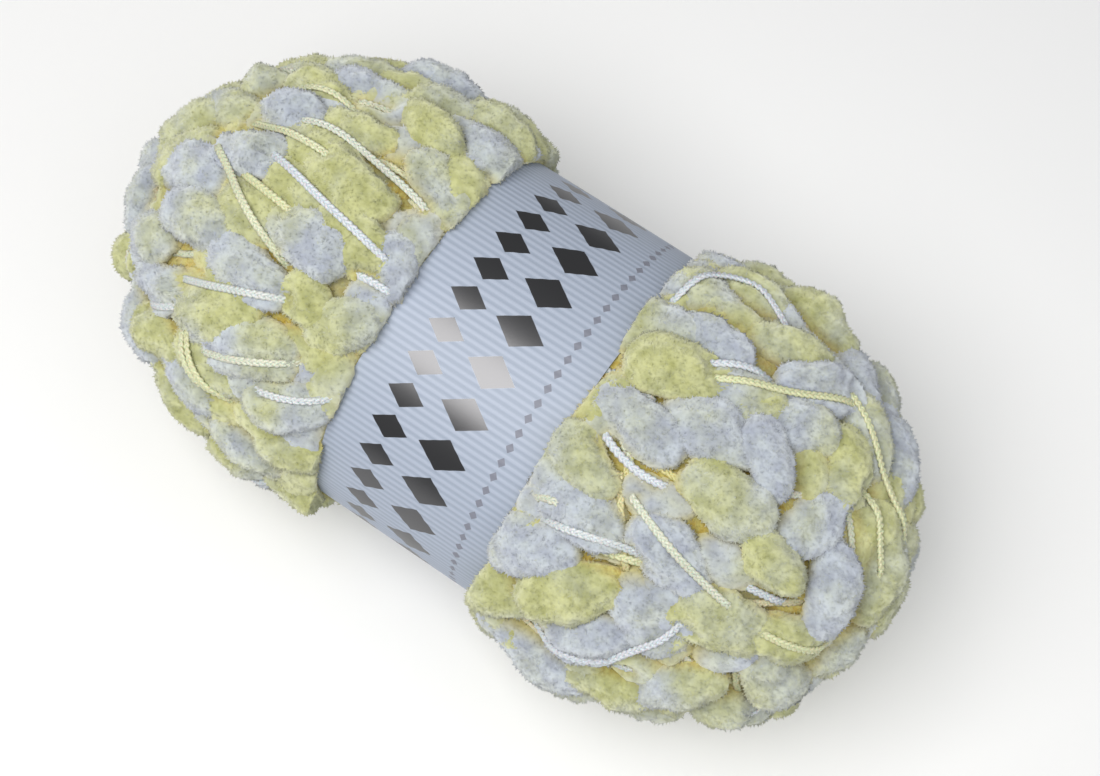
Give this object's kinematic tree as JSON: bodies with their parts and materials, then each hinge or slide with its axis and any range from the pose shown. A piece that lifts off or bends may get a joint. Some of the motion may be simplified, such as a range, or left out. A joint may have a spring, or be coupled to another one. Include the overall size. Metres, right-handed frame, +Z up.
{
  "type": "ball of pompom yarn",
  "caption": "Long wound ball of fuzzy pompom yarn, white and pale yellow bobbles on a thin cord, held at its waist by a ribbed paper band.",
  "frame": {"origin": "middle of the ball's outline seen from above, at the surface that it lies on", "axes": "+X along the ball's length, +Z up from the surface that it lies on"},
  "size_m": [0.2488, 0.1312, 0.1205],
  "materials": {
    "pompom_yarn": "soft pile",
    "band_paper": "ribbed, satin"
  },
  "bodies": {
    "root": {"skein": "pompom_yarn", "band": "band_paper"}
  },
  "joints": []
}
